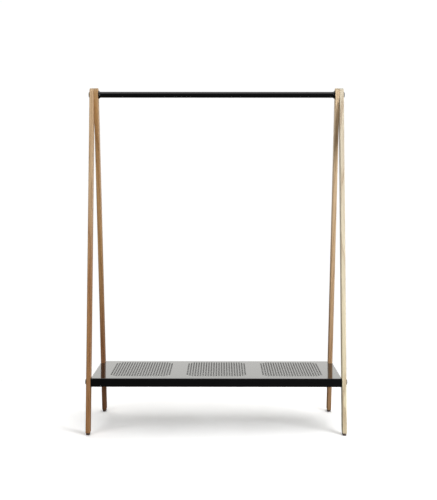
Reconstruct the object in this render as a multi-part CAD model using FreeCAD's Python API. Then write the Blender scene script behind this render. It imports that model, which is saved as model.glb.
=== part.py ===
"""A-frame clothes rack: four wooden legs, a hanging rail and a perforated shelf. Millimetres, +Z up.

The origin is on the floor, midway between the four feet. X runs along the rail, and the front is -Y.
"""

import FreeCAD, Part

import math
import os

V = FreeCAD.Vector
AXIS_X = V(1, 0, 0)
SIDES = {"left": -1, "right": 1}
ENDS = {"front": -1, "back": 1}

# Drawing aids
OVERRUN = 1.0  # how far a cutter runs past the face that it cuts
NEAR = 0.01  # slack for picking edges by their place

# Whole rack
RAIL_HEIGHT = 1560.0  # rail axis above the floor
FOOT_REACH = 233.0  # leg centre line at the floor, from the rack's middle plane
HALF_LENGTH = 595.0  # from the middle to the outer face of a front leg

# Legs: the back leg stands against the inner face of the front leg
LEG_THICKNESS = 20.0
LEG_WIDTH = 45.0
LEG_TIP_OFFSET = 8.0  # centre of the rounded tip, beyond the rail bolt
LEG_EDGE_RADIUS = 3.0
LEG_END_RADIUS = 2.0
LEAN = math.atan2(FOOT_REACH, RAIL_HEIGHT)
OUTER_FACE = {"front": HALF_LENGTH, "back": HALF_LENGTH - LEG_THICKNESS}
INNER_FACE = {end: face - LEG_THICKNESS for end, face in OUTER_FACE.items()}

# Feet
FOOT_HEIGHT = 10.0
FOOT_CORNER_RADIUS = 3.0
FOOT_EDGE_RADIUS = 1.5
PEG_RADIUS = 3.0
PEG_LENGTH = 18.0
PEG_HOLE_RADIUS = 3.4
PEG_HOLE_DEPTH = 20.0

# Hanging rail
RAIL_RADIUS = 14.0
RAIL_WALL = 1.5
COLLAR_RADIUS = 19.0
COLLAR_RIM = 4.0  # straight rim against the leg
COLLAR_RIM_RADIUS = 0.8
COLLAR_LENGTH = 11.0  # rim and flare together
SPIGOT_GAP = 0.3
SPIGOT_RADIUS = RAIL_RADIUS - RAIL_WALL - SPIGOT_GAP
SPIGOT_LENGTH = 16.0

# Bolts and nuts, M8
BOLT_RADIUS = 4.0
BOLT_END_CHAMFER = 0.8
HEAD_RADIUS = 12.0
HEAD_HEIGHT = 5.0
HEAD_EDGE_RADIUS = 2.0
SOCKET_FLATS = 6.0
SOCKET_DEPTH = 3.0
SHELF_BOLT_LENGTH = 30.0
RAIL_BOLT_LENGTH = 65.0  # through both legs and nearly through the collar's spigot
THREAD_RADIUS = 4.1
LEG_HOLE_RADIUS = 4.4
NUT_FLATS = 13.0
NUT_HEIGHT = 6.5

# Shelf of folded sheet
SHELF_TOP = 256.0
SHELF_HEIGHT = 39.0
SHELF_HALF_DEPTH = 218.0
SHEET = 1.5
BEND_RADIUS = 4.0
NOTCH_FRONT = 162.0  # where the rear corners step in to pass the back legs
SHELF_HOLE_RADIUS = 4.5
SHELF_BOTTOM = SHELF_TOP - SHELF_HEIGHT
BOLT_LEVEL = SHELF_TOP - SHELF_HEIGHT / 2

# Perforation: three fields of round holes on a square grid
PERFORATION_RADIUS = 4.0
PITCH = 12.3
COLUMNS = 23
ROWS = 28
FIELDS = 3
FIELD_SPACING = 354.0
FIELD_MIDDLE_Y = 9.0
FIELD_CORNER = 1.5 * PITCH  # corner rounding of a field, through the hole centres


def leg_centre_y(end, z):
    """Y of a leg's centre line at height z."""
    return ENDS[end] * (RAIL_HEIGHT - z) * math.tan(LEAN)


def leg_half_depth():
    """Half of a leg's depth, measured level."""
    return LEG_WIDTH / 2 / math.cos(LEAN)


def rounded_face(corners, z):
    """A level face from (x, y, radius) corners, each a right angle rounded by its own radius."""
    edges = []
    ends = []
    for i, (x, y, radius) in enumerate(corners):
        corner = V(x, y, z)
        after = corners[(i + 1) % len(corners)]
        to_before = (V(corners[i - 1][0], corners[i - 1][1], z) - corner).normalize()
        to_after = (V(after[0], after[1], z) - corner).normalize()
        inward = (to_before + to_after) * (1 - math.sqrt(0.5))
        start, middle, end = (corner + step * radius for step in (to_before, inward, to_after))
        edges.append(Part.Arc(start, middle, end).toShape())
        ends.append((start, end))
    for i, (start, _) in enumerate(ends):
        edges.append(Part.makeLine(ends[i - 1][1], start))
    return Part.Face(Part.Wire(Part.sortEdges(edges)[0]))


def hexagon(radius, start_x, length):
    """A hexagonal bar along +X, given its half width over flats."""
    corner = radius / math.cos(math.radians(30))
    angles = [math.radians(60 * i + 30) for i in range(7)]
    points = [V(start_x, corner * math.cos(a), corner * math.sin(a)) for a in angles]
    return Part.Face(Part.makePolygon(points)).extrude(V(length, 0, 0))


def turned(profile):
    """A solid turned about the X axis from (x, radius) points; a third value bends the way to that point."""
    edges = []
    for start, point in zip(profile, profile[1:] + profile[:1]):
        ends = [V(p[0], 0, p[1]) for p in (start, point)]
        if len(point) == 3:
            edges.append(Part.Arc(ends[0], arc_middle(*ends, point[2]), ends[1]).toShape())
        else:
            edges.append(Part.makeLine(*ends))
    face = Part.Face(Part.Wire(edges))
    return face.revolve(V(0, 0, 0), AXIS_X, 360)


def arc_middle(start, end, radius):
    """Middle of the short arc from start to end in the XZ plane; a negative radius bends it to the other side."""
    chord = end - start
    half = chord.Length / 2
    rise = abs(radius) - math.sqrt(radius * radius - half * half)
    normal = V(-chord.z, 0, chord.x).normalize()
    return (start + end) * 0.5 + normal * math.copysign(rise, radius)


def placed(shape, x, y, z, side):
    """Moves a part made along +X from the origin. On the right side it is turned to point along -X."""
    if side > 0:
        shape = shape.mirror(V(0, 0, 0), AXIS_X)
    shape.translate(V(x, y, z))
    return shape


def leg(side, end):
    """One wooden bar with a round tip, cut level at the foot, with its bolt holes."""
    lean = ENDS[end] * LEAN
    down = V(0, math.sin(lean), -math.cos(lean))
    across = V(0, math.cos(lean), math.sin(lean)) * (LEG_WIDTH / 2)
    tip = V(0, 0, RAIL_HEIGHT) - down * LEG_TIP_OFFSET
    foot_y = leg_centre_y(end, FOOT_HEIGHT)
    foot = [V(0, foot_y + s * leg_half_depth(), FOOT_HEIGHT) for s in (-1, 1)]
    shoulder = [tip + across * s for s in (-1, 1)]
    crown = tip - down * (LEG_WIDTH / 2)
    outline = [
        Part.makeLine(foot[0], shoulder[0]),
        Part.Arc(shoulder[0], crown, shoulder[1]).toShape(),
        Part.makeLine(shoulder[1], foot[1]),
        Part.makeLine(foot[1], foot[0]),
    ]
    bar = Part.Face(Part.Wire(outline)).extrude(V(LEG_THICKNESS, 0, 0))
    long_edges = [e for e in bar.Edges if e.BoundBox.ZMax > FOOT_HEIGHT + NEAR and e.BoundBox.XLength < NEAR]
    bar = bar.makeFillet(LEG_EDGE_RADIUS, long_edges)
    end_edges = [e for e in bar.Edges if e.BoundBox.ZMax < FOOT_HEIGHT + NEAR]
    bar = bar.makeFillet(LEG_END_RADIUS, end_edges)
    low_x = INNER_FACE[end] if side > 0 else -OUTER_FACE[end]
    bar.translate(V(low_x, 0, 0))
    for z in (RAIL_HEIGHT, BOLT_LEVEL):
        start = V(low_x - OVERRUN, leg_centre_y(end, z), z)
        bar = bar.cut(Part.makeCylinder(LEG_HOLE_RADIUS, LEG_THICKNESS + 2 * OVERRUN, start, AXIS_X))
    middle = V(low_x + LEG_THICKNESS / 2, foot_y, FOOT_HEIGHT - OVERRUN)
    return bar.cut(Part.makeCylinder(PEG_HOLE_RADIUS, PEG_HOLE_DEPTH + OVERRUN, middle))


def foot(side, end):
    """A plastic foot under the leg's flat end, with a peg that goes up into the leg."""
    x = side * (OUTER_FACE[end] - LEG_THICKNESS / 2)
    y = leg_centre_y(end, FOOT_HEIGHT)
    half_x = LEG_THICKNESS / 2 - LEG_END_RADIUS
    half_y = leg_half_depth() - LEG_END_RADIUS
    turns = ((1, -1), (1, 1), (-1, 1), (-1, -1))
    outline = rounded_face([(x + i * half_x, y + j * half_y, FOOT_CORNER_RADIUS) for i, j in turns], 0)
    pad = outline.extrude(V(0, 0, FOOT_HEIGHT))
    low_edges = [e for e in pad.Edges if e.BoundBox.ZMax < NEAR]
    pad = pad.makeFillet(FOOT_EDGE_RADIUS, low_edges)
    peg = Part.makeCylinder(PEG_RADIUS, PEG_LENGTH, V(x, y, FOOT_HEIGHT))
    return pad.fuse(peg).removeSplitter()


def collar():
    """A turned collar along +X: a rim against the leg, a flare that runs smoothly into the rail, and a spigot."""
    rim = COLLAR_RADIUS - COLLAR_RIM_RADIUS
    flare_length = COLLAR_LENGTH - COLLAR_RIM
    flare_height = COLLAR_RADIUS - RAIL_RADIUS
    flare_radius = (flare_length**2 + flare_height**2) / (2 * flare_height)
    profile = [
        (0, THREAD_RADIUS),
        (0, rim),
        (COLLAR_RIM_RADIUS, COLLAR_RADIUS, COLLAR_RIM_RADIUS),
        (COLLAR_RIM, COLLAR_RADIUS),
        (COLLAR_LENGTH, RAIL_RADIUS, -flare_radius),
        (COLLAR_LENGTH, SPIGOT_RADIUS),
        (COLLAR_LENGTH + SPIGOT_LENGTH, SPIGOT_RADIUS),
        (COLLAR_LENGTH + SPIGOT_LENGTH, THREAD_RADIUS),
    ]
    return turned(profile)


def bolt(length):
    """A bolt along +X with a flat round head outside the origin and a hexagon socket in it."""
    edge = HEAD_RADIUS - HEAD_EDGE_RADIUS
    profile = [
        (-HEAD_HEIGHT, 0),
        (-HEAD_HEIGHT, edge),
        (HEAD_EDGE_RADIUS - HEAD_HEIGHT, HEAD_RADIUS, HEAD_EDGE_RADIUS),
        (0, HEAD_RADIUS),
        (0, BOLT_RADIUS),
        (length - BOLT_END_CHAMFER, BOLT_RADIUS),
        (length, BOLT_RADIUS - BOLT_END_CHAMFER),
        (length, 0),
    ]
    socket = hexagon(SOCKET_FLATS / 2, -HEAD_HEIGHT - OVERRUN, SOCKET_DEPTH + OVERRUN)
    return turned(profile).cut(socket)


def nut():
    """A hexagon nut along +X, fixed to the inside of the shelf's side wall."""
    block = hexagon(NUT_FLATS / 2, 0, NUT_HEIGHT)
    return block.cut(Part.makeCylinder(THREAD_RADIUS, NUT_HEIGHT, V(0, 0, 0), AXIS_X))


def rail():
    """The tube between the two collars."""
    end_x = INNER_FACE["back"] - COLLAR_LENGTH
    start = V(-end_x, 0, RAIL_HEIGHT)
    outside = Part.makeCylinder(RAIL_RADIUS, 2 * end_x, start, AXIS_X)
    return outside.cut(Part.makeCylinder(RAIL_RADIUS - RAIL_WALL, 2 * end_x, start, AXIS_X))


def shelf_block(inset):
    """The shelf's outer form, or the space inside its sheet when it is inset by the sheet's thickness."""
    half_x = INNER_FACE["front"] - inset
    notch_x = INNER_FACE["back"] - inset
    half_y = SHELF_HALF_DEPTH - inset
    notch_y = NOTCH_FRONT - inset
    bend = BEND_RADIUS - inset
    notch_bend = BEND_RADIUS - SHEET + inset
    right = [
        (half_x, -half_y, bend),
        (half_x, notch_y, bend),
        (notch_x, notch_y, notch_bend),
        (notch_x, half_y, bend),
    ]
    left = [(-x, y, radius) for x, y, radius in reversed(right)]
    block = rounded_face(right + left, SHELF_BOTTOM).extrude(V(0, 0, SHELF_HEIGHT - inset))
    rim = [e for e in block.Edges if e.BoundBox.ZMin > SHELF_TOP - inset - NEAR]
    return block.makeFillet(bend, rim)


def hole_centres():
    """Centres of the perforation, with the outermost corner holes left out so that each field has soft corners."""
    half_x = (COLUMNS - 1) / 2 * PITCH
    half_y = (ROWS - 1) / 2 * PITCH
    centres = []
    for field in range(FIELDS):
        field_x = (field - (FIELDS - 1) / 2) * FIELD_SPACING
        for column in range(COLUMNS):
            for row in range(ROWS):
                x = column * PITCH - half_x
                y = row * PITCH - half_y
                beyond_x = abs(x) - (half_x - FIELD_CORNER)
                beyond_y = abs(y) - (half_y - FIELD_CORNER)
                if min(beyond_x, beyond_y) > 0 and math.hypot(beyond_x, beyond_y) > FIELD_CORNER:
                    continue
                centres.append((field_x + x, FIELD_MIDDLE_Y + y))
    return centres


def shelf_pieces():
    """The folded sheet, parted along its folds into the deck and four flanges."""
    tray = shelf_block(0).cut(shelf_block(SHEET))
    for side in SIDES.values():
        for end in ENDS:
            start = V(side * INNER_FACE[end] - BEND_RADIUS, leg_centre_y(end, BOLT_LEVEL), BOLT_LEVEL)
            tray = tray.cut(Part.makeCylinder(SHELF_HOLE_RADIUS, 2 * BEND_RADIUS, start, AXIS_X))
    wide = 2 * HALF_LENGTH
    fold = SHELF_TOP - BEND_RADIUS
    band = SHELF_HALF_DEPTH - BEND_RADIUS
    corner = V(-HALF_LENGTH, -SHELF_HALF_DEPTH, SHELF_BOTTOM)
    above = Part.makeBox(wide, 2 * SHELF_HALF_DEPTH, BEND_RADIUS, V(corner.x, corner.y, fold))
    front = Part.makeBox(wide, BEND_RADIUS, fold - SHELF_BOTTOM, corner)
    rear = Part.makeBox(wide, BEND_RADIUS, fold - SHELF_BOTTOM, V(corner.x, band, SHELF_BOTTOM))
    left = Part.makeBox(HALF_LENGTH, 2 * band, fold - SHELF_BOTTOM, V(corner.x, -band, SHELF_BOTTOM))
    right = Part.makeBox(HALF_LENGTH, 2 * band, fold - SHELF_BOTTOM, V(0, -band, SHELF_BOTTOM))
    pieces = {
        "shelf_front_flange": tray.common(front),
        "shelf_rear_flange": tray.common(rear),
        "shelf_side_left": tray.common(left),
        "shelf_side_right": tray.common(right),
    }
    under = SHELF_TOP - SHEET - OVERRUN
    depth = SHEET + 2 * OVERRUN
    drills = [Part.makeCylinder(PERFORATION_RADIUS, depth, V(x, y, under)) for x, y in hole_centres()]
    pieces["shelf_deck"] = tray.common(above).cut(Part.makeCompound(drills))
    return pieces


def build():
    """Every sub-part, by node name."""
    parts = {"hanging_rail": rail()}
    for side_name, side in SIDES.items():
        collar_x = side * INNER_FACE["back"]
        parts["rail_collar_" + side_name] = placed(collar(), collar_x, 0, RAIL_HEIGHT, side)
        rail_bolt = bolt(RAIL_BOLT_LENGTH)
        parts["rail_bolt_" + side_name] = placed(rail_bolt, side * OUTER_FACE["front"], 0, RAIL_HEIGHT, side)
        for end in ENDS:
            name = end + "_" + side_name
            bolt_y = leg_centre_y(end, BOLT_LEVEL)
            bolt_x = side * OUTER_FACE[end]
            nut_x = side * (INNER_FACE[end] - SHEET)
            parts["leg_" + name] = leg(side, end)
            parts["foot_" + name] = foot(side, end)
            parts["shelf_bolt_" + name] = placed(bolt(SHELF_BOLT_LENGTH), bolt_x, bolt_y, BOLT_LEVEL, side)
            parts["shelf_nut_" + name] = placed(nut(), nut_x, bolt_y, BOLT_LEVEL, side)
    parts.update(shelf_pieces())
    return parts


os.makedirs("parts", exist_ok=True)
for node, shape in build().items():
    shape.exportStep("parts/" + node + ".step")
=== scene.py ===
import math
from collections import namedtuple

import bmesh
import bpy
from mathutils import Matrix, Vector


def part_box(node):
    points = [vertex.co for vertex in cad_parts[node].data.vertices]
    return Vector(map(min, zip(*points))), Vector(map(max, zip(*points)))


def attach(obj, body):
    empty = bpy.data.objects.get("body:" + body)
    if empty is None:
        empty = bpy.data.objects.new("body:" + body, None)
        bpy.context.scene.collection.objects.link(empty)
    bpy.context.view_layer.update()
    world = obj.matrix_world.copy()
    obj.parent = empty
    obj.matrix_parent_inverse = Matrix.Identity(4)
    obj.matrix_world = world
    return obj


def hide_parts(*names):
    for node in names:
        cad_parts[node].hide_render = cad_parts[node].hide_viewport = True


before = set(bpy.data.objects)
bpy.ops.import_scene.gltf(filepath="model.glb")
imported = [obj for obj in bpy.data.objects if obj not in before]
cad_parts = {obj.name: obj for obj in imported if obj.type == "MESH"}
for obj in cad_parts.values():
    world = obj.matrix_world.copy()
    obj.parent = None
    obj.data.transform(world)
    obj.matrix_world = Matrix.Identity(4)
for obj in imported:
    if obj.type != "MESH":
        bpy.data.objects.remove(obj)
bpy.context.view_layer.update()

ENDS = {"front": -1, "back": 1}
SIDES = {"left": -1, "right": 1}

# Sizes in metres that the frame's boxes don't give
SHEET = 0.0015
NOTCH_FRONT = 0.162
RIM = 0.0004  # softened edges of the coated sheet
PERFORATION_RADIUS = 0.004
PITCH = 0.0123
COLUMNS = 23
ROWS = 28
FIELDS = 3
FIELD_SPACING = 0.354
FIELD_MIDDLE_Y = 0.009
FIELD_CORNER = 1.5 * PITCH

LEG_WIDTH = 0.045
LEG_TIP_OFFSET = 0.008
LEG_EDGE = 0.003
LEG_END_EDGE = 0.002
LEG_HOLE_RADIUS = 0.0044
LEG_HOLE_CELL = 0.016
PEG_HOLE_RADIUS = 0.0034
PEG_HOLE_DEPTH = 0.02

RAIL_WALL = 0.0015

JOIN_DISTANCE = 1e-6  # points of a mesh closer than this are joined
CLOSE = RIM / 10  # points of the shelf's outline closer than this are one point

# Smoothness of the round shapes
BEND_STEPS = 6
CORNER_STEPS = 6
EDGE_STEPS = 5
NOSE_STEPS = 28
HOLE_STEPS = 12
LEG_SPANS = 12  # along a leg, between the cells of its two bolt holes
RAIL_STEPS = 96
SHARP_ANGLE = math.radians(40)
FIRST_CORNER = -3 * math.pi / 4  # the direction from a cell's middle to its first corner


# ---------------------------------------------------------------- meshes

class Faces:
    """Points and polygons gathered for one mesh. Points that coincide are joined when it is made."""

    def __init__(self):
        self.points = []
        self.polygons = []

    def add(self, points):
        start = len(self.points)
        self.points += points
        self.polygons.append(range(start, len(self.points)))

    def strip(self, ring_a, ring_b, closed=True):
        """Quads between two rows of as many points."""
        count = len(ring_a)
        for i in range(count if closed else count - 1):
            j = (i + 1) % count
            self.add([ring_a[i], ring_a[j], ring_b[j], ring_b[i]])


def make_piece(name, faces, material, nodes):
    """One clean mesh that stands for the named CAD nodes."""
    mesh = bpy.data.meshes.new(name)
    mesh.from_pydata(faces.points, [], [list(polygon) for polygon in faces.polygons])
    work = bmesh.new()
    work.from_mesh(mesh)
    bmesh.ops.remove_doubles(work, verts=work.verts, dist=JOIN_DISTANCE)
    bmesh.ops.recalc_face_normals(work, faces=work.faces)
    work.to_mesh(mesh)
    work.free()
    mesh.shade_smooth()
    mesh.set_sharp_from_angle(angle=SHARP_ANGLE)
    mesh.materials.append(material)
    piece = bpy.data.objects.new(name, mesh)
    bpy.context.scene.collection.objects.link(piece)
    normals = piece.modifiers.new("weighted_normals", "WEIGHTED_NORMAL")
    normals.keep_sharp = True
    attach(piece, "root")
    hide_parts(*nodes)


def circle(radius, steps, turn=0.0):
    """(a, b) points round the origin, anticlockwise."""
    angles = [turn + 2 * math.pi * i / steps for i in range(steps)]
    return [(radius * math.cos(a), radius * math.sin(a)) for a in angles]


def quarter(steps):
    """Angles from 0 to a right angle."""
    return [math.pi / 2 * i / steps for i in range(steps + 1)]


def around_hole(corners, ring):
    """Four polygons that fill the space between a four-sided cell and the hole in it.

    The ring has a point on each diagonal, the first one towards the first corner.
    """
    side = len(ring) // 4
    filled = []
    for i, corner in enumerate(corners):
        arc = [ring[(i * side + k) % len(ring)] for k in range(side + 1)]
        filled.append([corner, corners[(i + 1) % 4]] + arc[::-1])
    return filled


# ---------------------------------------------------------------- shelf

def deck_lines():
    """X of every cell edge across the three fields, and Y of every cell edge from front to back."""
    half = COLUMNS * PITCH / 2
    xs = []
    for field in range(FIELDS):
        middle = (field - (FIELDS - 1) / 2) * FIELD_SPACING
        xs.append([middle - half + PITCH * i for i in range(COLUMNS + 1)])
    front = FIELD_MIDDLE_Y - ROWS * PITCH / 2
    return xs, [front + PITCH * j for j in range(ROWS + 1)]


def is_pierced(column, row):
    """The cells in the rounded corners of a field have no hole."""
    beyond = []
    for index, count in ((column, COLUMNS), (row, ROWS)):
        half = (count - 1) / 2 * PITCH
        beyond.append(abs(index * PITCH - half) - (half - FIELD_CORNER))
    return min(beyond) <= 0 or math.hypot(*beyond) <= FIELD_CORNER


class ShelfForm:
    """The folded sheet's sizes and outline.

    The outline's points lie where the deck starts to bend, each with its inward direction.
    """

    def __init__(self):
        low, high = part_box("shelf_deck")
        self.bend = high.z - low.z
        self.top = high.z
        self.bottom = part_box("shelf_front_flange")[0].z
        self.field_xs, self.ys = deck_lines()
        self.side_x = high.x - self.bend
        self.notch_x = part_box("leg_back_right")[0].x - self.bend
        self.back_y = high.y - self.bend
        right = self.right_side()
        across = [x for xs in self.field_xs for x in xs]
        front = [(x, -self.back_y, 0, 1) for x in across]
        back = [(x, self.back_y, 0, -1) for x in reversed(across)]
        left = [(-x, y, -nx, ny) for x, y, nx, ny in reversed(right)]
        self.outline = front + right + back + left
        self.right_edge = [(x, y) for x, y, _, _ in right]

    def corner(self, x, y, start, radius=0.0):
        """A rounded corner. Without a radius it turns outwards, and all its points meet on the deck."""
        points = []
        for step in quarter(CORNER_STEPS):
            angle = start - step if radius else start + step
            direction = (math.cos(angle), math.sin(angle))
            inward = 1 if radius else -1
            place = (x + radius * direction[0], y + radius * direction[1])
            points.append((*place, inward * direction[0], inward * direction[1]))
        return points

    def right_side(self):
        """From the front corner round the notch to the rear corner."""
        inner = self.bend - SHEET
        notch_y = NOTCH_FRONT - self.bend
        points = self.corner(self.side_x, -self.back_y, -math.pi / 2)
        points += [(self.side_x, y, -1, 0) for y in self.ys if y < notch_y]
        points += self.corner(self.side_x, notch_y, 0)
        centre = (self.notch_x + self.bend + inner, NOTCH_FRONT + inner)
        points += self.corner(*centre, -math.pi / 2, self.bend + inner)
        points += [(self.notch_x, y, -1, 0) for y in self.ys if y > centre[1]]
        return points + self.corner(self.notch_x, self.back_y, 0)

    def ring(self, inset, z):
        """The outline at a height, moved in by inset from the shelf's outer face."""
        out = self.bend - inset
        return [(x - nx * out, y - ny * out, z) for x, y, nx, ny in self.outline]

    def profile(self):
        """(inset, z) from the deck's top over the bend, round the lower edge and up to the underside."""
        inner = self.bend - SHEET
        bend_z = self.top - self.bend
        steps = quarter(BEND_STEPS)
        outside = [(self.bend * (1 - math.sin(t)), bend_z + self.bend * math.cos(t)) for t in steps]
        inside = [(self.bend - inner * math.sin(t), bend_z + inner * math.cos(t)) for t in reversed(steps)]
        edge = [
            (0, self.bottom + RIM),
            (RIM, self.bottom),
            (SHEET - RIM, self.bottom),
            (SHEET, self.bottom + RIM),
        ]
        return outside + edge + inside


def shelf_sheet(material):
    """The whole shelf as one folded and perforated sheet."""
    form = ShelfForm()
    faces = Faces()
    profile = form.profile()
    for above, below in zip(profile, profile[1:]):
        faces.strip(form.ring(*above), form.ring(*below))
    levels = [-form.back_y, *form.ys, form.back_y]
    for z in (form.top, form.top - SHEET):
        plain_deck(faces, form, levels, z)
    for xs in form.field_xs:
        for column, (x0, x1) in enumerate(zip(xs, xs[1:])):
            for row, (y0, y1) in enumerate(zip(form.ys, form.ys[1:])):
                deck_cell(faces, (x0, y0), (x1, y1), form.top, is_pierced(column, row))
    nodes = ["shelf_deck", "shelf_front_flange", "shelf_rear_flange", "shelf_side_left", "shelf_side_right"]
    make_piece("shelf_sheet", faces, material, nodes)


def plain_deck(faces, form, levels, z):
    """The deck's flat parts beside, before, behind and between the perforated fields."""
    across = [x for xs in form.field_xs for x in xs]
    for low, high in zip(levels, levels[1:]):
        edge = [p for p in form.right_edge if low - CLOSE < p[1] < high + CLOSE]
        edge = [p for i, p in enumerate(edge) if i == 0 or math.dist(p, edge[i - 1]) > CLOSE]
        side = [(across[-1], low), *edge, (across[-1], high)]
        faces.add([(x, y, z) for x, y in side])
        faces.add([(-x, y, z) for x, y in side])
    for x0, x1 in zip(across, across[1:]):
        for y0, y1 in (levels[:2], levels[-2:]):
            faces.add([(x0, y0, z), (x1, y0, z), (x1, y1, z), (x0, y1, z)])
    for left_xs, right_xs in zip(form.field_xs, form.field_xs[1:]):
        x0, x1 = left_xs[-1], right_xs[0]
        for y0, y1 in zip(form.ys, form.ys[1:]):
            faces.add([(x0, y0, z), (x1, y0, z), (x1, y1, z), (x0, y1, z)])


def deck_cell(faces, low, high, top, pierced):
    """One square of the deck, above and below, with a round hole whose upper rim is softened."""
    corners = [(low[0], low[1]), (high[0], low[1]), (high[0], high[1]), (low[0], high[1])]
    if not pierced:
        for z in (top, top - SHEET):
            faces.add([(*corner, z) for corner in corners])
        return
    middle = ((low[0] + high[0]) / 2, (low[1] + high[1]) / 2)
    rings = []
    for radius, z in (
        (PERFORATION_RADIUS + RIM, top),
        (PERFORATION_RADIUS, top - RIM),
        (PERFORATION_RADIUS, top - SHEET),
    ):
        ring = circle(radius, HOLE_STEPS, FIRST_CORNER)
        rings.append([(middle[0] + a, middle[1] + b, z) for a, b in ring])
    for ring, z in ((rings[0], top), (rings[2], top - SHEET)):
        for polygon in around_hole([(*corner, z) for corner in corners], ring):
            faces.add(polygon)
    faces.strip(rings[0], rings[1])
    faces.strip(rings[1], rings[2])


# ---------------------------------------------------------------- legs

class LegPlane:
    """Turns (u, v) into a place: u runs up a leg from the rail's axis, v across it from front to back."""

    def __init__(self, end):
        low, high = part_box("foot_" + end + "_right")
        rail_low, rail_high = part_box("hanging_rail")
        self.rail_z = (rail_low.z + rail_high.z) / 2
        self.foot_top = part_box("leg_" + end + "_right")[0].z
        reach = abs(low.y + high.y) / 2 / (self.rail_z - self.foot_top)
        self.lean = ENDS[end] * math.atan(reach)

    def place(self, u, v, x):
        y = v * math.cos(self.lean) - u * math.sin(self.lean)
        z = self.rail_z + u * math.cos(self.lean) + v * math.sin(self.lean)
        return (x, y, z)

    def level(self, z):
        """u along a level cut at height z, as a function of v."""
        return lambda v: (z - self.rail_z - v * math.sin(self.lean)) / math.cos(self.lean)

    def square(self, u):
        """u along a square cut, the same for any v."""
        return lambda v: u


def leg_rows(plane, bolt_u):
    """The cuts across a leg, from its foot end to where its round tip starts, each giving u for a v."""
    rows = [plane.level(plane.foot_top + LEG_END_EDGE), plane.square(bolt_u - LEG_HOLE_CELL)]
    for i in range(LEG_SPANS + 1):
        share = i / LEG_SPANS
        rows.append(plane.square((bolt_u + LEG_HOLE_CELL) * (1 - share) - LEG_HOLE_CELL * share))
    rows.append(plane.square(LEG_TIP_OFFSET))
    return rows


def leg_path(plane, rows, inset, x):
    """One line of points up the front edge, over the tip and down the rear edge."""
    reach = LEG_WIDTH / 2 - inset
    nose = [math.pi * (1 - i / NOSE_STEPS) for i in range(1, NOSE_STEPS)]
    points = [plane.place(row(-reach), -reach, x) for row in rows]
    points += [plane.place(LEG_TIP_OFFSET + reach * math.sin(a), reach * math.cos(a), x) for a in nose]
    return points + [plane.place(row(reach), reach, x) for row in reversed(rows)]


def leg_section(left_x, right_x):
    """The rounded edge's lines from side to side: inset from the leg's edge, x and outward direction."""
    left, right = [], []
    for t in quarter(EDGE_STEPS):
        inset = LEG_EDGE * (1 - math.sin(t))
        depth = LEG_EDGE * (1 - math.cos(t))
        left.append((inset, left_x + depth, (-math.cos(t), math.sin(t))))
        right.append((inset, right_x - depth, (math.cos(t), math.sin(t))))
    return left + right[::-1]


def leg_piece(end, side, material):
    """One leg: a bar with rounded edges, a round tip, a level foot end and its three holes."""
    name = end + "_" + side
    plane = LegPlane(end)
    low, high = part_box("leg_" + name)
    bolt_low, bolt_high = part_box("shelf_bolt_" + name)
    bolt_u = plane.level((bolt_low.z + bolt_high.z) / 2)(0)
    rows = leg_rows(plane, bolt_u)
    section = leg_section(low.x, high.x)
    paths = [leg_path(plane, rows, inset, x) for inset, x, _ in section]
    faces = Faces()
    for one, other in zip(paths, paths[1:]):
        faces.strip(one, other, closed=False)
    leg_sides(faces, plane, rows, paths, bolt_u)
    leg_end(faces, plane, section, paths)
    make_piece("leg_panel_" + name, faces, material, ["leg_" + name])


def leg_sides(faces, plane, rows, paths, bolt_u):
    """The two flat sides, pierced by the bolt holes."""
    # The spans between rows that have a hole, each with the hole's place along the leg
    holes = {1: bolt_u, len(rows) - 2: 0.0}
    rings = {i: [] for i in holes}
    for edge in (paths[0], paths[-1]):
        x = edge[0][0]
        back = edge[::-1]
        for i in range(len(rows) - 1):
            cell = [edge[i], back[i], back[i + 1], edge[i + 1]]
            if i not in holes:
                faces.add(cell)
                continue
            hole = circle(LEG_HOLE_RADIUS, 2 * HOLE_STEPS, FIRST_CORNER)
            ring = [plane.place(holes[i] + b, a, x) for a, b in hole]
            rings[i].append(ring)
            for polygon in around_hole(cell, ring):
                faces.add(polygon)
        faces.add(edge[len(rows) - 1:len(edge) - len(rows) + 1])
    for pair in rings.values():
        faces.strip(*pair)


def leg_end(faces, plane, section, paths):
    """The softened lower end, with the hole for the foot's peg."""
    # Each point of the end, its outward direction, and -1 on the front edge or 1 on the rear one
    loop = [(path[0], outward, -1) for path, (_, _, outward) in zip(paths, section)]
    loop += [(path[-1], outward, 1) for path, (_, _, outward) in reversed(list(zip(paths, section)))]
    rings = []
    for t in quarter(EDGE_STEPS):
        shrink = LEG_END_EDGE * (1 - math.cos(t))
        drop = LEG_END_EDGE * math.sin(t)
        slide = drop * math.tan(plane.lean)
        rings.append([
            (
                point[0] - outward[0] * shrink,
                point[1] + slide - toward * outward[1] * shrink / math.cos(plane.lean),
                point[2] - drop,
            )
            for point, outward, toward in loop
        ])
    middle = sum((Vector(p) for p in rings[-1]), Vector()) / len(loop)
    first = Vector(rings[-1][0]) - middle
    hole = circle(PEG_HOLE_RADIUS, len(loop), math.atan2(first.y, first.x))
    mouth = [(middle.x + a, middle.y + b, middle.z) for a, b in hole]
    ceiling = [(x, y, z + PEG_HOLE_DEPTH) for x, y, z in mouth]
    rings += [mouth, ceiling]
    for one, other in zip(rings, rings[1:]):
        faces.strip(one, other)
    faces.add(ceiling)


# ---------------------------------------------------------------- rail

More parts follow.
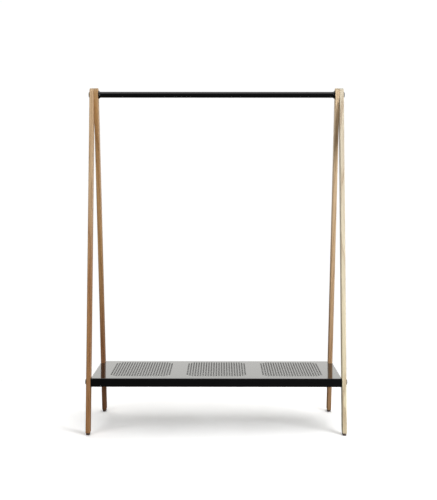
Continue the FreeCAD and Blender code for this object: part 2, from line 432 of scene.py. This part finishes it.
def rail_piece(material):
    """The rail's tube, with softened ends."""
    low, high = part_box("hanging_rail")
    radius = (high.z - low.z) / 2
    centre_z = (high.z + low.z) / 2
    inner = radius - RAIL_WALL
    half = [
        (high.x - RIM, radius),
        (high.x, radius - RIM),
        (high.x, inner + RIM),
        (high.x - RIM, inner),
    ]
    profile = half + [(-x, r) for x, r in reversed(half)]
    faces = Faces()
    rings = [[(x, a, centre_z + b) for a, b in circle(r, RAIL_STEPS)] for x, r in profile]
    for one, other in zip(rings, rings[1:] + rings[:1]):
        faces.strip(one, other)
    make_piece("rail_tube", faces, material, ["hanging_rail"])


# ---------------------------------------------------------------- materials

# What the darkest fibres, the open pores and the end grain of ash do to the colour of its board
ASH_DARK = (0.68, 0.56, 0.47, 1)
ASH_PORE = (0.28, 0.22, 0.18, 1)
ASH_END = (0.64, 0.70, 0.74, 1)
ASH_RINGS_PER_METRE = 380
TURNING_RINGS = 9000  # radians of tool mark per metre across a bolt's head

# Where a leg's pith lies, its colours at the head and at the foot, and the heights between which they mix.
# The change from head to foot is painted light and shade: darker towards the foot on three legs, lighter
# towards the foot on the front right leg. The left legs are set darker than the right ones.
Board = namedtuple("Board", "pith head foot fade")
BOARDS = {
    "front_left": Board((0.031, -0.010, 0.3), (0.71, 0.49, 0.28), (0.54, 0.28, 0.118), (0.7, 1.2)),
    "front_right": Board((-0.027, 0.014, 1.1), (0.73, 0.645, 0.49), (0.94, 0.83, 0.57), (0.1, 1.3)),
    "back_left": Board((0.022, 0.021, 2.3), (0.59, 0.345, 0.145), (0.40, 0.185, 0.083), (0.3, 0.85)),
    "back_right": Board((-0.036, -0.006, 3.7), (0.80, 0.60, 0.37), (0.62, 0.37, 0.19), (0.1, 1.4)),
}


class Graph:
    """The node tree of a new material or world, with its main shader and the place that its textures use."""

    def __init__(self, name, world=False):
        self.owner = (bpy.data.worlds if world else bpy.data.materials).new(name)
        self.owner.use_nodes = True
        self.tree = self.owner.node_tree
        self.shader = self.tree.nodes["Background" if world else "Principled BSDF"]
        self.place = self.add("ShaderNodeTexCoord").outputs["Generated" if world else "Object"]

    def add(self, kind, inputs=None, **settings):
        """A node with its settings, and its inputs given as values or as other nodes' outputs."""
        node = self.tree.nodes.new(kind)
        for key, value in settings.items():
            setattr(node, key, value)
        for key, value in (inputs or {}).items():
            self.feed(node.inputs[key], value)
        return node

    def feed(self, socket, value):
        if isinstance(value, bpy.types.NodeSocket):
            self.tree.links.new(value, socket)
        else:
            socket.default_value = value

    def surface(self, **values):
        """Sets inputs of the main shader. An underscore stands for a space in an input's name."""
        for key, value in values.items():
            self.feed(self.shader.inputs[key.replace("_", " ")], value)

    def math(self, operation, a, b=0.0, clamp=False):
        return self.add("ShaderNodeMath", {0: a, 1: b}, operation=operation, use_clamp=clamp).outputs[0]

    def stretched(self, place, scale):
        """The place times a factor for each axis, or in cells per metre for a noise of scale 1."""
        return self.add("ShaderNodeVectorMath", {0: place, 1: scale}, operation="MULTIPLY").outputs[0]

    def noise(self, place, scale, detail=2.0, roughness=0.5):
        inputs = {"Vector": place, "Scale": scale, "Detail": detail, "Roughness": roughness}
        return self.add("ShaderNodeTexNoise", inputs).outputs["Fac"]

    def range(self, value, low, high, new_low, new_high):
        """A value moved from the range low to high into a new range, and kept within it."""
        inputs = {"Value": value, "From Min": low, "From Max": high, "To Min": new_low, "To Max": new_high}
        return self.add("ShaderNodeMapRange", inputs).outputs["Result"]

    def ramp(self, value, stops):
        """Grey levels at places along the ramp."""
        node = self.add("ShaderNodeValToRGB", {"Fac": value})
        elements = node.color_ramp.elements
        while len(elements) < len(stops):
            elements.new(0.5)
        for element, (place, level) in zip(elements, stops):
            element.position = place
            element.color = (level, level, level, 1)
        return node.outputs["Color"]

    def mix(self, factor, a, b, blend="MIX"):
        node = self.add("ShaderNodeMix", data_type="RGBA", blend_type=blend)
        sockets = {s.identifier: s for s in node.inputs}
        self.feed(sockets["Factor_Float"], factor)
        self.feed(sockets["A_Color"], a)
        self.feed(sockets["B_Color"], b)
        return next(s for s in node.outputs if s.identifier == "Result_Color")

    def bump(self, height, strength, distance):
        inputs = {"Height": height, "Strength": strength, "Distance": distance}
        return self.add("ShaderNodeBump", inputs).outputs["Normal"]


def ash_rings(g, board):
    """How much early wood there is, from 0 to 1, in wavy rings about a pith that runs along the board."""
    sway = g.noise(g.stretched(board, (9, 9, 1.1)), 1.0, 2.0)
    wobble = g.noise(g.stretched(board, (60, 60, 4)), 1.0, 2.0)
    flat = g.stretched(board, (1, 1, 0.02))
    from_pith = g.add("ShaderNodeVectorMath", {0: flat}, operation="LENGTH").outputs["Value"]
    warped = g.math("ADD", from_pith, g.math("MULTIPLY", sway, 0.02))
    warped = g.math("ADD", warped, g.math("MULTIPLY", wobble, 0.002))
    ring = g.math("FRACT", g.math("MULTIPLY", warped, ASH_RINGS_PER_METRE))
    return g.ramp(ring, [(0.0, 0.75), (0.1, 1.0), (0.38, 0.15), (0.8, 0.0), (1.0, 0.1)])


def ash_end_grain(g, lean):
    """1 where the surface faces along the leg, as at its tip, and 0 on its sides."""
    axis = (0, -math.sin(lean), math.cos(lean))
    normal = g.add("ShaderNodeTexCoord").outputs["Normal"]
    along = g.add("ShaderNodeVectorMath", {0: normal, 1: axis}, operation="DOT_PRODUCT").outputs["Value"]
    return g.range(g.math("ABSOLUTE", along), 0.3, 0.95, 0.0, 1.0)


def ash_material(name, lean, shift, board):
    """Pale ring-porous wood with its grain along the leg, in its leg's colours, the left legs darker than
    the right, with painted light and shade that changes the colour from head to foot.
    """
    g = Graph(name)
    turn = (-lean, 0, 0)
    mapped = g.add("ShaderNodeMapping", {"Vector": g.place, "Rotation": turn, "Location": shift})
    grain = mapped.outputs["Vector"]
    early = ash_rings(g, grain)
    pores = g.noise(g.stretched(grain, (2600, 2600, 70)), 1.0, 1.0)
    pores = g.math("MULTIPLY", g.range(pores, 0.55, 0.68, 0.0, 1.0), early)
    fibres = g.noise(g.stretched(grain, (420, 420, 5)), 1.0, 3.0, 0.6)
    tone = g.noise(g.stretched(grain, (16, 16, 0.9)), 1.0, 2.0)
    amount = g.math("MULTIPLY", early, 0.6)
    amount = g.math("ADD", amount, g.range(fibres, 0.3, 0.7, -0.16, 0.3), clamp=True)
    amount = g.math("ADD", amount, g.range(tone, 0.3, 0.7, -0.12, 0.16), clamp=True)
    height = g.add("ShaderNodeSeparateXYZ", {0: g.place}).outputs["Z"]
    # Painted light and shade: the colour goes from the foot's to the head's between the board's two heights
    board_colour_with_painted_light = g.mix(g.range(height, *board.fade, 0.0, 1.0), (*board.foot, 1), (*board.head, 1))
    shade = g.mix(amount, (1, 1, 1, 1), ASH_DARK)
    shade = g.mix(g.math("MULTIPLY", pores, 0.7), shade, ASH_PORE)
    shade = g.mix(ash_end_grain(g, lean), shade, g.mix(1.0, shade, ASH_END, "MULTIPLY"))
    colour = g.mix(1.0, board_colour_with_painted_light, shade, "MULTIPLY")
    rough = g.range(g.math("ADD", fibres, pores), 0.2, 1.2, 0.4, 0.58)
    relief = g.math("SUBTRACT", g.math("MULTIPLY", fibres, 0.35), pores)
    g.surface(Base_Color=colour, Roughness=rough, Normal=g.bump(relief, 0.35, 0.0003))
    return g.owner


def powder_coat_material():
    """Semi-gloss black powder coat: fine orange peel and slightly uneven gloss."""
    g = Graph("powder_coat_black")
    peel = g.noise(g.place, 620, 2.0, 0.4)
    cloud = g.noise(g.place, 14, 3.0)
    fine = g.noise(g.place, 2600, 1.0)
    colour = g.mix(cloud, (0.0036, 0.0036, 0.0038, 1), (0.0052, 0.0052, 0.0055, 1))
    rough = g.math("ADD", g.range(cloud, 0.3, 0.7, 0.055, 0.09), g.math("MULTIPLY", fine, 0.02))
    g.surface(Base_Color=colour, Roughness=rough, Normal=g.bump(peel, 0.08, 0.0002))
    return g.owner


def turned_black_material(name, axis_y, axis_z):
    """Satin black bolt: faint turning rings about its own axis."""
    g = Graph(name)
    axis = (0, axis_y, axis_z)
    centred = g.add("ShaderNodeVectorMath", {0: g.place, 1: axis}, operation="SUBTRACT").outputs[0]
    flat = g.stretched(centred, (0, 1, 1))
    radius = g.add("ShaderNodeVectorMath", {0: flat}, operation="LENGTH").outputs["Value"]
    rings = g.math("SINE", g.math("MULTIPLY", radius, TURNING_RINGS))
    grain = g.noise(g.place, 1800, 2.0)
    colour = g.mix(grain, (0.014, 0.014, 0.015, 1), (0.026, 0.026, 0.027, 1))
    rough = g.range(grain, 0.3, 0.7, 0.32, 0.44)
    relief = g.math("ADD", g.math("MULTIPLY", rings, 0.25), grain)
    g.surface(Base_Color=colour, Roughness=rough, Normal=g.bump(relief, 0.15, 0.0001))
    return g.owner


def zinc_material():
    """Zinc-plated steel with faint cloudy tints."""
    g = Graph("zinc_plate")
    cloud = g.noise(g.place, 160, 3.0)
    scratches = g.noise(g.stretched(g.place, (300, 4000, 4000)), 1.0, 2.0)
    colour = g.mix(cloud, (0.56, 0.57, 0.55, 1), (0.68, 0.66, 0.60, 1))
    rough = g.range(scratches, 0.3, 0.7, 0.28, 0.42)
    g.surface(Base_Color=colour, Metallic=1.0, Roughness=rough, Normal=g.bump(scratches, 0.15, 0.0001))
    return g.owner


def foot_material():
    """Matt dark plastic with a fine moulded texture."""
    g = Graph("foot_plastic_dark")
    texture = g.noise(g.place, 2400, 2.0)
    cloud = g.noise(g.place, 90, 2.0)
    colour = g.mix(cloud, (0.12, 0.083, 0.064, 1), (0.17, 0.122, 0.095, 1))
    rough = g.range(texture, 0.3, 0.7, 0.5, 0.68)
    g.surface(Base_Color=colour, Roughness=rough, Normal=g.bump(texture, 0.3, 0.00015))
    return g.owner


# ---------------------------------------------------------------- the rack

def dress(node, material):
    """Gives a CAD node that stays its detailed material."""
    for material_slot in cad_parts[node].material_slots:
        material_slot.material = material


def build_rack():
    """Every visible piece, in its material."""
    coat = powder_coat_material()
    zinc = zinc_material()
    plastic = foot_material()
    shelf_sheet(coat)
    rail_piece(coat)
    for side in SIDES:
        dress("rail_collar_" + side, coat)
        dress_bolt("rail_bolt_" + side)
        for end in ENDS:
            name = end + "_" + side
            low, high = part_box("leg_" + name)
            board = BOARDS[name]
            shift = (board.pith[0] - (low.x + high.x) / 2, board.pith[1], board.pith[2])
            wood = ash_material("ash_" + name, LegPlane(end).lean, shift, board)
            leg_piece(end, side, wood)
            dress("foot_" + name, plastic)
            dress("shelf_nut_" + name, zinc)
            dress_bolt("shelf_bolt_" + name)


def dress_bolt(node):
    """Gives a bolt black rings about its own axis."""
    low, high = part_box(node)
    middle = (low + high) / 2
    dress(node, turned_black_material("black_" + node, middle.y, middle.z))


# ---------------------------------------------------------------- stage

WHITE = 1.02  # a little over white, so that it stays white in the finished picture
FLOOR_REACH = 40.0
FLOOR_FADE = (0.8, 1.6)  # distances from the rack's middle between which the floor turns white
SKY_FADE = (0.1, 0.95)  # how far a direction points to the back, from the dark camera side to the backdrop
CAMERA_SIDE = (0.02, 0.02, 0.02, 1)
BACKDROP = (1.35, 1.34, 1.295, 1)

CAMERA_PLACE = (0.0226, -4.6248, 1.1531)
CAMERA_DOWN = 0.0699
CAMERA_ROLL = -0.0007
CAMERA_TURN = 0.0029
LENS = 70.3
SENSOR = 36.0


def grey(level):
    return (level, level, level, 1)


def make_floor():
    """A wide pale floor that turns fully white away from the rack, and that reflects little into it."""
    mesh = bpy.data.meshes.new("floor")
    corners = [(FLOOR_REACH * x, FLOOR_REACH * y, 0) for x, y in ((-1, -1), (1, -1), (1, 1), (-1, 1))]
    mesh.from_pydata(corners, [], [(0, 1, 2, 3)])
    floor = bpy.data.objects.new("floor", mesh)
    bpy.context.scene.collection.objects.link(floor)
    g = Graph("floor_white")
    g.surface(Base_Color=grey(0.9), Roughness=0.9)
    lift = g.add("ShaderNodeBsdfDiffuse", {"Color": grey(0.45)}).outputs[0]
    lifted = g.add("ShaderNodeAddShader", {0: g.shader.outputs[0], 1: lift}).outputs[0]
    distance = g.add("ShaderNodeVectorMath", {0: g.place}, operation="LENGTH").outputs["Value"]
    fade = g.range(distance, *FLOOR_FADE, 0.0, 1.0)
    white = g.add("ShaderNodeEmission", {"Color": grey(1), "Strength": WHITE}).outputs[0]
    seen = g.add("ShaderNodeMixShader", {0: fade, 1: lifted, 2: white}).outputs[0]
    unseen = g.add("ShaderNodeBsdfDiffuse", {"Color": grey(0.06)}).outputs[0]
    camera_ray = g.add("ShaderNodeLightPath").outputs["Is Camera Ray"]
    either = g.add("ShaderNodeMixShader", {0: camera_ray, 1: unseen, 2: seen}).outputs[0]
    g.tree.links.new(either, g.tree.nodes["Material Output"].inputs["Surface"])
    mesh.materials.append(g.owner)


def add_softbox(name, place, aim, size, power):
    """A rectangular area light that the camera doesn't see."""
    data = bpy.data.lights.new(name, "AREA")
    data.shape = "RECTANGLE"
    data.size, data.size_y = size
    data.energy = power
    lamp = bpy.data.objects.new(name, data)
    bpy.context.scene.collection.objects.link(lamp)
    lamp.location = place
    lamp.rotation_euler = (Vector(aim) - Vector(place)).to_track_quat("-Z", "Y").to_euler()
    lamp.visible_camera = False


def light_stage():
    """A wide overhead softbox, a key from the front right, a fill from the front left, and the world.

    The world is white to the camera. To all else it is a bright backdrop and a dark camera side.
    """
    add_softbox("overhead", (0.6, 0.0, 3.3), (0.6, 0, 0), (4.4, 5.0), 82)
    add_softbox("key", (2.0, -2.1, 1.3), (0.25, 0, 0.7), (1.6, 2.2), 62)
    add_softbox("fill", (-1.9, -1.9, 2.1), (-0.4, 0, 1.3), (1.4, 1.6), 18)
    g = Graph("studio", world=True)
    bpy.context.scene.world = g.owner
    back = g.add("ShaderNodeSeparateXYZ", {0: g.place}).outputs["Y"]
    sky = g.mix(g.range(back, *SKY_FADE, 0.0, 1.0), CAMERA_SIDE, BACKDROP)
    camera_ray = g.add("ShaderNodeLightPath").outputs["Is Camera Ray"]
    g.surface(Color=g.mix(camera_ray, sky, grey(WHITE)), Strength=1.0)


def make_camera():
    """The view from straight in front, a little below the rail's height and slightly down."""
    data = bpy.data.cameras.new("camera")
    data.sensor_width = SENSOR
    data.lens = LENS
    camera = bpy.data.objects.new("camera", data)
    bpy.context.scene.collection.objects.link(camera)
    camera.location = CAMERA_PLACE
    camera.rotation_euler = (math.pi / 2 - CAMERA_DOWN, CAMERA_ROLL, CAMERA_TURN)
    bpy.context.scene.camera = camera


make_camera()
build_rack()
make_floor()
light_stage()
bpy.context.scene.view_settings.view_transform = "Standard"
